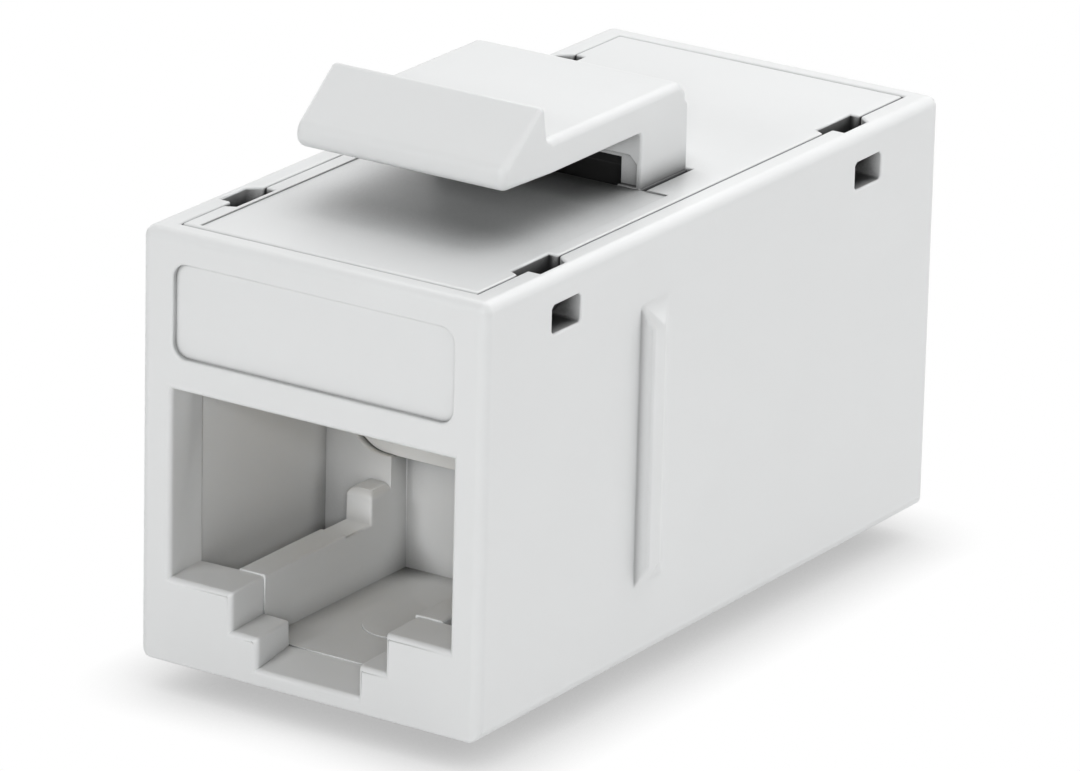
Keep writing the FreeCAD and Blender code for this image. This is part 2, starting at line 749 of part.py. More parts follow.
def make_carrier(name, turned):
    body = new_body(name, turned)
    plate_front = behind_front(size.end_wall + size.carrier_gap)
    plate_back = -size.carrier_gap
    half_plate = half_port - size.carrier_gap
    plate = new_sketch(body, f"{name}_plate_sketch", "XY_Plane", size.port_ceiling)
    rectangle(plate, -half_plate, half_plate, plate_front, plate_back)
    pad(plate, size.carrier_plate)

    face = behind_front(size.stop_depth + size.carrier_setback)
    half_block = size.cradle_width / 2 - size.carrier_gap
    block = new_sketch(body, f"{name}_block_sketch", "XY_Plane", size.port_ceiling)
    rectangle(block, -half_block, half_block, face, plate_back)
    pad(block, size.port_ceiling - size.cradle_floor, reverse=True)
    round_edges(body, f"{name}_corners", size.cradle_round, is_carrier_corner)

    nose = behind_front(size.end_wall + size.contact_nose)
    comb_height = size.port_ceiling - size.cradle_floor - size.comb_floor
    tail = behind_front(size.tail_near + size.tail_spacing)
    groove_end = tail + size.tail_bend + size.contact_thickness
    slot_row(body, f"{name}_comb", comb_height, face, face + size.comb_depth, size.port_ceiling)
    slot_row(body, f"{name}_nose", size.carrier_plate, plate_front, nose, plate_top)
    slot_row(body, f"{name}_groove", size.groove_depth, nose, groove_end, plate_top)
    return body


def is_carrier_corner(edge):
    at_side = near(abs(edge.CenterOfMass.x), size.cradle_width / 2 - size.carrier_gap)
    return at_side and near(edge.BoundBox.ZMin, size.cradle_floor) and runs_along(edge, "Y")


# Circuit board
def make_board():
    body = new_body("circuit_board")
    half_board = half_length - size.end_wall - size.board_end_gap
    outline = new_sketch(body, "board_sketch", "XY_Plane", plate_top)
    rectangle(outline, -size.board_width / 2, size.board_width / 2, -half_board, half_board)
    pad(outline, size.board_thickness)
    holes = new_sketch(body, "board_hole_sketch", "XY_Plane", board_top)
    for number in range(contact_total()):
        for end in (-1, 1):
            circle(holes, contact_place(number) * -end, tail_line(number) * -end, size.board_hole / 2)
    pocket(holes, size.board_thickness)
    return body


def contact_total():
    return int(size.contact_count.number)


def contact_place(number):
    return first_contact + size.contact_pitch * number


def tail_line(number):
    """Solder tails stand in two rows, turn and turn about."""
    return behind_front(size.tail_near + size.tail_spacing * (number % 2))


# Contacts: strips bent from the solder tail over the carrier's nose into the sloping spring
def strip_edges(start, heading, steps, offset):
    """One side of a bent strip: straight runs and turns, all at one offset to the left."""
    place = Vector(start)
    angle = math.radians(heading)
    edges = []
    place += Vector(-math.sin(angle), math.cos(angle), 0) * offset
    for kind, amount, *bend in steps:
        if kind == "run":
            end = place + Vector(math.cos(angle), math.sin(angle), 0) * amount
            edges.append(Part.LineSegment(place, end))
        else:
            turn = math.radians(amount)
            side = math.copysign(1.0, turn)
            radius = bend[0] - offset * side
            centre = place + Vector(-math.sin(angle), math.cos(angle), 0) * radius * side
            spots = [
                centre + Vector(math.sin(angle + part), -math.cos(angle + part), 0) * radius * side
                for part in (turn / 2, turn)
            ]
            edges.append(Part.Arc(place, spots[0], spots[1]))
            angle += turn
            end = spots[1]
        place = end
    return edges


def contact_outline(number):
    """Side view of a contact in Y and Z, from its solder tail to its free end."""
    thickness = size.contact_thickness.number
    slope = size.contact_angle.number
    run_height = (plate_top - size.groove_depth).number + thickness / 2
    spring_start = size.port_ceiling.number - thickness / 2 - size.flex_gap.number
    nose_radius = (run_height - spring_start) / (1 + math.cos(math.radians(slope)))
    tail_y = tail_line(number).number
    nose_y = behind_front(size.end_wall + size.contact_nose).number
    tail_high = (board_top + size.tail_stub).number
    bend = size.tail_bend.number
    spring_y = nose_y - nose_radius * math.sin(math.radians(slope))
    reach = behind_front(size.stop_depth + size.contact_overrun).number - spring_y
    steps = [
        ("run", tail_high - run_height - bend),
        ("turn", -90, bend),
        ("run", tail_y - bend - nose_y),
        ("turn", 180 - slope, nose_radius),
        ("run", reach / math.cos(math.radians(slope))),
    ]
    start = Vector(tail_y, tail_high, 0)
    left = strip_edges(start, -90, steps, thickness / 2)
    right = strip_edges(start, -90, steps, -thickness / 2)
    caps = [
        Part.LineSegment(right[0].StartPoint, left[0].StartPoint),
        Part.LineSegment(left[-1].EndPoint, right[-1].EndPoint),
    ]
    return left + right + caps


def make_contact(name, number, turned):
    place = contact_place(number)
    body = new_body(name, turned, -place if turned else place)
    outline = new_sketch(body, f"{name}_sketch", "YZ_Plane")
    for edge in contact_outline(number):
        outline.addGeometry(edge)
    pad(outline, size.contact_width, symmetric=True)
    return body


def make_all():
    pieces = [make_housing(), make_cover(), make_latch(), make_board()]
    for end, turned in (("front", False), ("rear", True)):
        pieces.append(make_carrier(f"{end}_contact_carrier", turned))
        for number in range(contact_total()):
            pieces.append(make_contact(f"{end}_contact_{number + 1}", number, turned))
    return pieces


def check_and_write(pieces):
    doc.recompute()
    for item in doc.Objects:
        if "Invalid" in item.State or "Error" in item.State:
            raise RuntimeError(f"{item.Name} failed: {item.State}")
    for piece in pieces:
        if piece.Shape.isNull() or not piece.Shape.isValid():
            raise RuntimeError(f"{piece.Label} has no valid shape")
    os.makedirs("parts", exist_ok=True)
    for piece in pieces:
        piece.Shape.exportStep(f"parts/{piece.Label}.step")
        print(piece.Label, len(piece.Shape.Solids), round(piece.Shape.Volume, 3))


check_and_write(make_all())
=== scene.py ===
import json
import math

import bmesh
import bpy
import numpy
from mathutils import Matrix, Vector
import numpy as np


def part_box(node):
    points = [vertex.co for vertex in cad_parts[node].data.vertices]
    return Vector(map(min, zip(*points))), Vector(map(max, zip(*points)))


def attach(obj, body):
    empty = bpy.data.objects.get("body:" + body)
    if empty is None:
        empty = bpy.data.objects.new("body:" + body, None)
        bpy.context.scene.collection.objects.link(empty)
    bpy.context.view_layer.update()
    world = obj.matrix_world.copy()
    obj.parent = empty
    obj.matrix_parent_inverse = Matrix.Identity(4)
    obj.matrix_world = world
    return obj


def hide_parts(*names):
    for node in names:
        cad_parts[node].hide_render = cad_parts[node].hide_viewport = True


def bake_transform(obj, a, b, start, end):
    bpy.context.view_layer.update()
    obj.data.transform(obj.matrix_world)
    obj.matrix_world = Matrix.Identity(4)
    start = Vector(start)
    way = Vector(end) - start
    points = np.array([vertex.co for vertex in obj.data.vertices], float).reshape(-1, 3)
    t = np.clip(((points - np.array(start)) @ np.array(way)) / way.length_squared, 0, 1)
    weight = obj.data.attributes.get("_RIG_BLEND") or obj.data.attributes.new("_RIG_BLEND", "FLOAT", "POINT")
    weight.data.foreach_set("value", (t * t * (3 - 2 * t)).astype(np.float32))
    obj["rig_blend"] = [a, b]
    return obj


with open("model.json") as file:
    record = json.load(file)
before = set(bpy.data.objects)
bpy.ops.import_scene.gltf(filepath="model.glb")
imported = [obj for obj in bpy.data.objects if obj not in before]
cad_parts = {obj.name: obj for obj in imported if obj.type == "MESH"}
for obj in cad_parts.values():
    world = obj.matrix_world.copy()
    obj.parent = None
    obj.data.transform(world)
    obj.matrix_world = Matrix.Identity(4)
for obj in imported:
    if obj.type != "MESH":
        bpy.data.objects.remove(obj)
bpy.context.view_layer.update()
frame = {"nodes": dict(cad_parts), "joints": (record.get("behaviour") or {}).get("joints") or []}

# Keystone coupler in moulded plastic, with gold-plated contacts on a small circuit board inside.
# Sizes are in millimetres and become metres where they are used. X is across the ports, Y runs from
# the front face to the rear one and Z is up.
MM = 0.001
COUPLER = "coupler"
LATCH = "release_latch"
PORTS = ("front", "rear")
CONTACTS_PER_PORT = 8

# Meshes: what counts as one point, as on a cut, as flat, as sharp and as one run of edges
MERGE_DISTANCE = 0.001
CUT_TOLERANCE = 0.00001
FLAT_ANGLE = math.radians(0.5)
SHARP_ANGLE = math.radians(38)
SAME_RUN = 0.8

# Edge rounding: the share of the free room that it may take, the spots along an edge where that room
# is measured, and the radius of each kind of edge. End edges above LABEL_LOW are the label recess's.
SHARE_OF_ROOM = 0.42
ROOM_SPOTS = (0.1, 0.5, 0.9)
EDGE_SEGMENTS = 4
FLAT_FACE_WEIGHT = 100
HOUSING_EDGE = 0.1
PORT_EDGE = 0.22
LABEL_LOW = 12.2
LABEL_RIM = 0.09
COVER_EDGE = 0.09
CARRIER_EDGE = 0.05
CONTACT_EDGE = 0.04
BOARD_EDGE = 0.03

# Planes, as point and direction, that divide the housing's flat faces through their openings
HOUSING_SEAMS = (
    ((0, 0, 0), (1, 0, 0)),
    ((0, -4.3, 0), (0, 1, 0)),
    ((0, 0, 15.645), (0, 0, 1)),
)

# Room inside the ports, with lighter painted shade: half its width, floor, roof and end, from the middle
PORT_HALF = 6.2
PORT_FLOOR = 2.4
PORT_ROOF = 11.6
PORT_END = 4.1

# Latch and riser, moulded in one with the cover
ARC_STEPS = 8
ARM_LOOPS = 14
CREST_BACK = 0.25
CREST_ROUND = 0.2
CREST_LOSS = 0.78
CATCH_FOOT_ROUND = 0.15
NOSE_HEIGHT = 0.85
NOSE_TOP_ROUND = 0.6
NOSE_LOW_ROUND = 0.45
RISER_BACK_ROUND = 0.7
RISER_BACK_BLEND = 1.3
ARM_ROOT_ROUND = 0.12
SIDE_STEPS = 4
TOP_SIDE_ROUND = 0.32
CREST_SIDE_ROUND = 0.16
LOW_SIDE_ROUND = 0.09
RISER_CUT_EDGE = 0.03
RISER_DEPTH = 3.05
ARM_ROOT = 0.4
CATCH_LINE = -7.1
RISER_WALL = 0.95
RISER_HOLLOW = 0.95
HOLLOW_MARGIN = 0.08
UPRIGHT_LIMIT = 0.5
BRIDGE_HEIGHT = 1.15
BRIDGE_MARGIN = 0.18
BRIDGE_DEPTH = 0.2
BRIDGE_CHAMFER = 0.3
CUTTER_MARGIN = 1.0
ARM_RISE = 3.3
FOOT_DEPTH = 0.1
BEND_END = -5.6

# Solder joints on the board
SOLDER_FOOT = 0.56
SOLDER_TOP = 0.27
SOLDER_HEIGHT = 0.3
SOLDER_WAIST = 0.7
SOLDER_SIDES = 20
SOLDER_RINGS = 5

# Colours, linear
SHELL_COLOUR = (0.698, 0.707, 0.708, 1)
CARRIER_COLOUR = (0.86, 0.87, 0.865, 1)
GOLD_COLOUR = (0.83, 0.58, 0.22, 1)
TIN_COLOUR = (0.62, 0.62, 0.60, 1)
FROST_COLOUR = (0.50, 0.50, 0.49, 1)
MASK_COLOUR = (0.010, 0.095, 0.032, 1)
TRACE_COLOUR = (0.022, 0.165, 0.060, 1)
LAMINATE_COLOUR = (0.42, 0.36, 0.19, 1)
LAMINATE_DARK = 0.7
FLOOR_COLOUR = (0.82, 0.82, 0.82, 1)
WHITE = (1, 1, 1, 1)

# Noise in the finishes: its size, its middle value and the detail of the finer ones
CLOUDS_PER_METRE = 260.0
GLOSS_PATCHES_PER_METRE = 900.0
GRAINS_PER_METRE = 14000.0
STREAKS_PER_METRE = 4000.0
FROST_PER_METRE = 6000.0
SPECKLES_PER_METRE = 3000.0
NOISE_MIDDLE = 0.5
FINE_DETAIL = 3.0

# Strength of the finishes: roughness of the metals and the mask as spread and least value, and bumps
# as strength and height
SHELL_ROUGHNESS = 0.36
INSERT_ROUGHNESS = 0.45
GLOSS_SPREAD = 0.1
CLOUD_SPREAD = 0.025
PLASTIC_IOR = 1.5
PLATING_ROUGHNESS = (0.18, 0.14)
SOLDER_ROUGHNESS = (0.25, 0.15)
MASK_ROUGHNESS = (0.2, 0.22)
GRAIN_BUMP = (0.12, 0.01)
PLATING_BUMP = (0.08, 0.01)
SOLDER_BUMP = (0.1, 0.01)
MASK_BUMP = (0.2, 0.02)

# Board: copper lines sway along it, one for each contact's pitch, and thin layers show on its cut edges
SWAY_PER_METRE = 420.0
SWAY_REACH = 0.35
LANE_HALF = 0.5
COPPER_START = 0.3
LAYER_HEIGHT = 0.06
FLAT_LIMIT = 0.6

# Painted shade: its darkest share, then each plastic's reach and the open shares that count as closed
# and as open. The extras are added to the reach and the closed share in the hollow and in the ports.
SHADE_SAMPLES = 8
PAINTED_SHADE_DARKEST = 0.05
HOUSING_PAINTED_SHADE = (1.8, 0.28, 0.68)
COVER_PAINTED_SHADE = (2.9, 0.32, 0.85)
LATCH_PAINTED_SHADE = (1.3, 0.3, 0.85)
INSERT_PAINTED_SHADE = (0.6, 0.3, 0.85)
HOLLOW_PAINTED_SHADE_EXTRA = (6.0, 0.4)
PORT_PAINTED_SHADE_EXTRA = (0.0, -0.26)

# Camera, fitted to the photograph: direction, roll, distance, the point it looks at and a slide
# across its view
CAMERA_AZIMUTH = 33.013
CAMERA_ELEVATION = 19.501
CAMERA_ROLL = 1.365
CAMERA_DISTANCE = 298.34
CAMERA_AIM = (-0.1, 2.0, 9.2)
CAMERA_SLIDE = (-1.242, -1.106)
CAMERA_LENS = 273.53
CAMERA_CLIP = 10.0
SENSOR_WIDTH = 36.0

# Stage: the floor, the room's glow by height, and soft boxes as direction and height angle in degrees,
# width, and power in watts
FLOOR_HALF = 3000.0
FLOOR_ROUGHNESS = 0.6
# Painted contact shadow on the floor: its reach and how far it darkens
CONTACT_SHADE_REACH = 3.0
CONTACT_SHADE_DEPTH = 0.62
HORIZON_GLOW = 1.1
HORIZON_TOP = 0.2
DOME_GLOW = 0.85
DOME_START = 0.6
LAMP_DISTANCE = 500.0
LAMP_HEIGHT = 9.0
SOFT_BOXES = {
    "high rear soft box": (180, 55, 600, 2.1),
    "rear left soft box": (-115, 15, 160, 0.2),
    "front left soft box": (-12, 24, 100, 0.58),
    "front soft box": (33, 19.5, 100, 0.72),
    "right soft box": (130, 18, 420, 0.72),
}


def in_scene(name, data):
    """Object with the given data, linked to the scene."""
    item = bpy.data.objects.new(name, data)
    bpy.context.scene.collection.objects.link(item)
    return item


# Nodes and shader groups
def new_group(name, inputs, outputs):
    """Shader node group with named float or colour sockets."""
    group = bpy.data.node_groups.new(name, "ShaderNodeTree")
    for direction, sockets in (("INPUT", inputs), ("OUTPUT", outputs)):
        for label, kind in sockets:
            group.interface.new_socket(label, in_out=direction, socket_type=f"NodeSocket{kind}")
    return group, group.nodes.new("NodeGroupInput"), group.nodes.new("NodeGroupOutput")


def math_node(tree, operation, *values):
    """Maths node; each value is a number or a socket."""
    node = tree.nodes.new("ShaderNodeMath")
    node.operation = operation
    for slot, value in zip(node.inputs, values):
        if isinstance(value, (int, float)):
            slot.default_value = value
        else:
            tree.links.new(value, slot)
    return node.outputs[0]


def object_place(tree):
    """Place on a piece, in its Object coordinates."""
    return tree.nodes.new("ShaderNodeTexCoord").outputs["Object"]


def split(tree, vector):
    """The parts of a vector, as sockets named X, Y and Z."""
    node = tree.nodes.new("ShaderNodeSeparateXYZ")
    tree.links.new(vector, node.inputs[0])
    return node.outputs


def noise(tree, place, scale, detail=2.0):
    """Noise from 0 to 1; its scale is a number or a socket."""
    node = tree.nodes.new("ShaderNodeTexNoise")
    node.inputs["Detail"].default_value = detail
    tree.links.new(place, node.inputs["Vector"])
    if isinstance(scale, (int, float)):
        node.inputs["Scale"].default_value = scale
    else:
        tree.links.new(scale, node.inputs["Scale"])
    return node.outputs["Fac"]


def mixed_colour(tree, factor, first, second):
    """Colour mix; each colour is four numbers or a socket."""
    node = tree.nodes.new("ShaderNodeMix")
    node.data_type = "RGBA"
    tree.links.new(factor, node.inputs["Factor"])
    for socket, colour in ((node.inputs["A"], first), (node.inputs["B"], second)):
        if isinstance(colour, tuple):
            socket.default_value = colour
        else:
            tree.links.new(colour, socket)
    return node.outputs["Result"]


def make_finish_and_painted_shade():
    """Surface of a moulding: mould grain, slow changes of gloss and cloudiness, and painted shade."""
    group, inputs, outputs = new_group(
        "moulded finish",
        [("Colour", "Color"), ("Cloud", "Float"), ("Roughness", "Float"), ("Gloss Spread", "Float"),
         ("Grains Per Metre", "Float"), ("Painted Shade Reach", "Float"), ("Painted Shade Closed", "Float"),
         ("Painted Shade Open", "Float")],
        [("Colour", "Color"), ("Roughness", "Float"), ("Height", "Float")],
    )
    place = object_place(group)
    cloud = math_node(group, "SUBTRACT", noise(group, place, CLOUDS_PER_METRE), NOISE_MIDDLE)
    tone = math_node(group, "MULTIPLY_ADD", cloud, inputs.outputs["Cloud"], 1.0)
    # Painted shade: the colour darkens in corners, hollows and under parts, where little room is open
    painted_shade = group.nodes.new("ShaderNodeAmbientOcclusion")
    painted_shade.samples = SHADE_SAMPLES
    group.links.new(inputs.outputs["Painted Shade Reach"], painted_shade.inputs["Distance"])
    openness = group.nodes.new("ShaderNodeMapRange")
    group.links.new(inputs.outputs["Painted Shade Closed"], openness.inputs["From Min"])
    group.links.new(inputs.outputs["Painted Shade Open"], openness.inputs["From Max"])
    openness.inputs["To Min"].default_value = PAINTED_SHADE_DARKEST
    group.links.new(painted_shade.outputs["AO"], openness.inputs["Value"])
    shaded = math_node(group, "MULTIPLY", tone, openness.outputs["Result"])
    clouded_and_shaded_colour = group.nodes.new("ShaderNodeVectorMath")
    clouded_and_shaded_colour.operation = "SCALE"
    group.links.new(inputs.outputs["Colour"], clouded_and_shaded_colour.inputs[0])
    group.links.new(shaded, clouded_and_shaded_colour.inputs["Scale"])
    group.links.new(clouded_and_shaded_colour.outputs[0], outputs.inputs["Colour"])
    gloss = math_node(group, "SUBTRACT", noise(group, place, GLOSS_PATCHES_PER_METRE), NOISE_MIDDLE)
    spread, middle = inputs.outputs["Gloss Spread"], inputs.outputs["Roughness"]
    rough = math_node(group, "MULTIPLY_ADD", gloss, spread, middle)
    group.links.new(rough, outputs.inputs["Roughness"])
    grain = noise(group, place, inputs.outputs["Grains Per Metre"], detail=FINE_DETAIL)
    group.links.new(grain, outputs.inputs["Height"])
    return group


# Materials
def new_material(name):
    """A new material, its node tree and its shader."""
    material = bpy.data.materials.new(name)
    material.use_nodes = True
    return material, material.node_tree, material.node_tree.nodes["Principled BSDF"]


def bump(tree, height, shader, strength, depth):
    """Bump on a shader's normal; depth is in millimetres."""
    node = tree.nodes.new("ShaderNodeBump")
    node.inputs["Strength"].default_value = strength
    node.inputs["Distance"].default_value = depth * MM
    tree.links.new(height, node.inputs["Height"])
    tree.links.new(node.outputs["Normal"], shader.inputs["Normal"])


def plastic_with_painted_shade(name, finish_and_painted_shade, colour, roughness, painted_shade):
    """Moulded plastic with painted shade; face attributes add to the shade's reach and closed share."""
    material, tree, shader = new_material(name)
    reach, closed, opened = painted_shade
    surface = tree.nodes.new("ShaderNodeGroup")
    surface.node_tree = finish_and_painted_shade
    surface.inputs["Colour"].default_value = colour
    surface.inputs["Cloud"].default_value = CLOUD_SPREAD
    surface.inputs["Roughness"].default_value = roughness
    surface.inputs["Gloss Spread"].default_value = GLOSS_SPREAD
    surface.inputs["Grains Per Metre"].default_value = GRAINS_PER_METRE
    for label, value, unit in (("Painted Shade Reach", reach, MM), ("Painted Shade Closed", closed, 1.0)):
        extra = tree.nodes.new("ShaderNodeAttribute")
        extra.attribute_name = label
        total = math_node(tree, "MULTIPLY_ADD", extra.outputs["Fac"], unit, value * unit)
        tree.links.new(total, surface.inputs[label])
    surface.inputs["Painted Shade Open"].default_value = opened
    tree.links.new(surface.outputs["Colour"], shader.inputs["Base Color"])
    tree.links.new(surface.outputs["Roughness"], shader.inputs["Roughness"])
    shader.inputs["IOR"].default_value = PLASTIC_IOR
    bump(tree, surface.outputs["Height"], shader, *GRAIN_BUMP)
    return material


def plated_contact():
    """Gold over nickel on the spring, tin on the solder tail above the board's underside."""
    material, tree, shader = new_material("gold plated contact")
    place = object_place(tree)
    tin_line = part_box("circuit_board")[0].z
    tinned = math_node(tree, "GREATER_THAN", split(tree, place)["Z"], tin_line)
    tree.links.new(mixed_colour(tree, tinned, GOLD_COLOUR, TIN_COLOUR), shader.inputs["Base Color"])
    streaks = noise(tree, place, STREAKS_PER_METRE, detail=FINE_DETAIL)
    rough = math_node(tree, "MULTIPLY_ADD", streaks, *PLATING_ROUGHNESS)
    tree.links.new(rough, shader.inputs["Roughness"])
    shader.inputs["Metallic"].default_value = 1.0
    bump(tree, streaks, shader, *PLATING_BUMP)
    return material


def tinned_solder():
    """Bright tin with a duller frosting."""
    material, tree, shader = new_material("tinned solder")
    frosting = noise(tree, object_place(tree), FROST_PER_METRE, detail=FINE_DETAIL)
    tree.links.new(mixed_colour(tree, frosting, TIN_COLOUR, FROST_COLOUR), shader.inputs["Base Color"])
    rough = math_node(tree, "MULTIPLY_ADD", frosting, *SOLDER_ROUGHNESS)
    tree.links.new(rough, shader.inputs["Roughness"])
    shader.inputs["Metallic"].default_value = 1.0
    bump(tree, frosting, shader, *SOLDER_BUMP)
    return material


def solder_mask():
    """Green mask with lighter copper lines under it, and bare glass-fibre laminate on the cut edges."""
    material, tree, shader = new_material("circuit board")
    place = object_place(tree)
    axes = split(tree, place)
    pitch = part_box("front_contact_2")[0].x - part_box("front_contact_1")[0].x
    across = math_node(tree, "DIVIDE", axes["X"], pitch)
    wave = math_node(tree, "SINE", math_node(tree, "MULTIPLY", axes["Y"], SWAY_PER_METRE))
    sway = math_node(tree, "MULTIPLY", wave, SWAY_REACH)
    lane = math_node(tree, "PINGPONG", math_node(tree, "ADD", across, sway), LANE_HALF)
    copper = math_node(tree, "GREATER_THAN", lane, COPPER_START)
    masked = mixed_colour(tree, copper, MASK_COLOUR, TRACE_COLOUR)
    layers = math_node(tree, "PINGPONG", axes["Z"], LAYER_HEIGHT * MM)
    weave = math_node(tree, "DIVIDE", layers, LAYER_HEIGHT * MM)
    dark_laminate = tuple(LAMINATE_DARK * part for part in LAMINATE_COLOUR[:3]) + (1,)
    laminate = mixed_colour(tree, weave, dark_laminate, LAMINATE_COLOUR)
    facing = split(tree, tree.nodes.new("ShaderNodeNewGeometry").outputs["True Normal"])
    flat = math_node(tree, "GREATER_THAN", math_node(tree, "ABSOLUTE", facing["Z"]), FLAT_LIMIT)
    tree.links.new(mixed_colour(tree, flat, laminate, masked), shader.inputs["Base Color"])
    speckle = noise(tree, place, SPECKLES_PER_METRE)
    rough = math_node(tree, "MULTIPLY_ADD", speckle, *MASK_ROUGHNESS)
    tree.links.new(rough, shader.inputs["Roughness"])
    bump(tree, copper, shader, *MASK_BUMP)
    return material


# Pieces made from the frame's own solids
def cut_along(shape, place, course, **options):
    """Edges of a plane cut through the whole mesh, at a place in metres and square to a course."""
    cut = bmesh.ops.bisect_plane(
        shape,
        geom=shape.verts[:] + shape.edges[:] + shape.faces[:],
        dist=CUT_TOLERANCE * MM,
        plane_co=place,
        plane_no=Vector(course),
        **options,
    )
    return [item for item in cut["geom_cut"] if isinstance(item, bmesh.types.BMEdge)]


def merged_shape(node, seams=()):
    """Copy of a node's mesh, its loose triangles joined and its flat faces made whole between seams."""
    shape = bmesh.new()
    shape.from_mesh(frame["nodes"][node].data)
    bmesh.ops.remove_doubles(shape, verts=shape.verts, dist=MERGE_DISTANCE * MM)
    for place, course in seams:
        for edge in cut_along(shape, Vector(place) * MM, course):
            edge.seam = True
    bmesh.ops.dissolve_limit(
        shape, angle_limit=FLAT_ANGLE, verts=shape.verts, edges=shape.edges, delimit={"SEAM"}
    )
    return shape


def sharp_edges(shape, convex):
    """Edges that turn by more than the sharp angle: the outer ones alone, or all of them."""
    turns = [(edge, edge.calc_face_angle_signed(0.0)) for edge in shape.edges if len(edge.link_faces) == 2]
    return [edge for edge, turn in turns if (turn if convex else abs(turn)) > SHARP_ANGLE]


def sharp_chains(shape):
    """Sharp outer edges, grouped into runs that go on without a corner."""
    edges = sharp_edges(shape, convex=True)
    leader = {edge: edge for edge in edges}

    def first_of(edge):
        while leader[edge] is not edge:
            edge = leader[edge]
        return edge

    for vertex in shape.verts:
        here = [edge for edge in vertex.link_edges if edge in leader]
        away = [(edge.other_vert(vertex).co - vertex.co).normalized() for edge in here]
        for one in range(len(here)):
            for other in range(one):
                if away[one].dot(away[other]) < -SAME_RUN:
                    leader[first_of(here[one])] = first_of(here[other])
    chains = {}
    for edge in edges:
        chains.setdefault(first_of(edge), []).append(edge)
    return list(chains.values())


def room_round(chain, edges, starts, courses):
    """Distance from a run of edges to the nearest sharp edge that doesn't touch it, or its length."""
    touching = {vertex for edge in chain for vertex in edge.verts}
    apart = [touching.isdisjoint(edge.verts) for edge in edges]
    room = sum(edge.calc_length() for edge in chain)
    if any(apart):
        spots = [
            edge.verts[0].co.lerp(edge.verts[1].co, share) for edge in chain for share in ROOM_SPOTS
        ]
        point = numpy.array(spots)[:, None, :]
        start, course = starts[None, apart, :], courses[None, apart, :]
        share = ((point - start) * course).sum(2) / (course * course).sum(2)
        nearest = start + course * share.clip(0, 1)[:, :, None]
        room = min(room, float(numpy.sqrt(((point - nearest) ** 2).sum(2)).min()))
    return room


def weigh_sharp_edges(shape, radius, wanted=None):
    """Bevel weight of each outer edge: the radius wanted there, or less all along a run with less room."""
    layer = shape.edges.layers.float.new("bevel_weight_edge")
    chains = sharp_chains(shape)
    edges = sharp_edges(shape, convex=False)
    starts = numpy.array([edge.verts[0].co for edge in edges])
    courses = numpy.array([edge.verts[1].co - edge.verts[0].co for edge in edges])
    for chain in chains:
        aim = wanted(chain) if wanted else radius
        weight = min(aim, SHARE_OF_ROOM * room_round(chain, edges, starts, courses) / MM) / radius
        for edge in chain:
            edge[layer] = weight
    for edge in edges:
        edge.smooth = edge[layer] > 0


def finished_piece(name, shape, radius, material):
    """Object from a mesh whose sharp edges are rounded off and whose flat faces shade flat."""
    for face in shape.faces:
        face.smooth = True
    mesh = bpy.data.meshes.new(name)
    shape.to_mesh(mesh)
    shape.free()
    mesh.materials.append(material)
    piece = in_scene(name, mesh)
    rounding = piece.modifiers.new("edge rounding", "BEVEL")
    rounding.limit_method = "WEIGHT"
    rounding.width = radius * MM
    rounding.segments = EDGE_SEGMENTS
    rounding.use_clamp_overlap = False
    rounding.loop_slide = False
    rounding.miter_outer = "MITER_ARC"
    shading = piece.modifiers.new("flat faces", "WEIGHTED_NORMAL")
    shading.weight = FLAT_FACE_WEIGHT
    shading.keep_sharp = True
    return piece


def set_painted_shade_extras(shape, choose, extra):
    """Attributes that add to the painted shade's reach and closed share on the faces that choose returns."""
    values = dict(zip(("Painted Shade Reach", "Painted Shade Closed"), extra))
    for label in values:
        shape.faces.layers.float.new(label)
    layers = shape.faces.layers.float
    for face in choose(shape):
        for label, value in values.items():
            face[layers[label]] = value


def port_faces(shape):
    """Faces inside the two ports of the housing, where the painted shade is lighter."""
    end_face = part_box("housing")[1].y / MM
    chosen = []
    for face in shape.faces:
        middle = face.calc_center_median() / MM
        in_end = PORT_END < abs(middle.y) < end_face - MERGE_DISTANCE
        if in_end and abs(middle.x) < PORT_HALF and PORT_FLOOR < middle.z < PORT_ROOF:
            chosen.append(face)
    return chosen


def housing_edge(chain):
    """Radius for a run of edges: on the end faces, ports and label recesses have their own."""
    end_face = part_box("housing")[1].y / MM
    middles = [(edge.verts[0].co + edge.verts[1].co) / (2 * MM) for edge in chain]
    if max(end_face - abs(middle.y) for middle in middles) >= MERGE_DISTANCE:
        return HOUSING_EDGE
    return LABEL_RIM if min(middle.z for middle in middles) > LABEL_LOW else PORT_EDGE


def moulded_copy(node, name, radius, material, wanted=None, seams=(), painted_shade_faces=None):
    """Dressed copy of a rigid node, in its place; painted shade extras are chosen faces and what they add.
    """
    shape = merged_shape(node, seams)
    if painted_shade_faces:
        set_painted_shade_extras(shape, *painted_shade_faces)
    weigh_sharp_edges(shape, radius, wanted)
    piece = finished_piece(name, shape, radius, material)
    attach(piece, COUPLER)
    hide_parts(node)


# Cover and latch
def latch_lines():
    """Lines of the latch and riser that the frame gives, in millimetres."""
    low, high = (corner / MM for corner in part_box("latch"))
    cover_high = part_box("top_cover")[1] / MM
    bend = Vector(frame["joints"][0]["pos_m"]) / MM
    riser_front = bend.y + ARM_ROOT
    return {
        "half_width": high.x,
        "nose": low.y,
        "arm_low": low.z,
        "arm_top": cover_high.z,
        "crest": high.z,
        "cover_top": cover_high.z - ARM_RISE,
        "riser_front": riser_front,
        "riser_back": riser_front + RISER_DEPTH,
    }


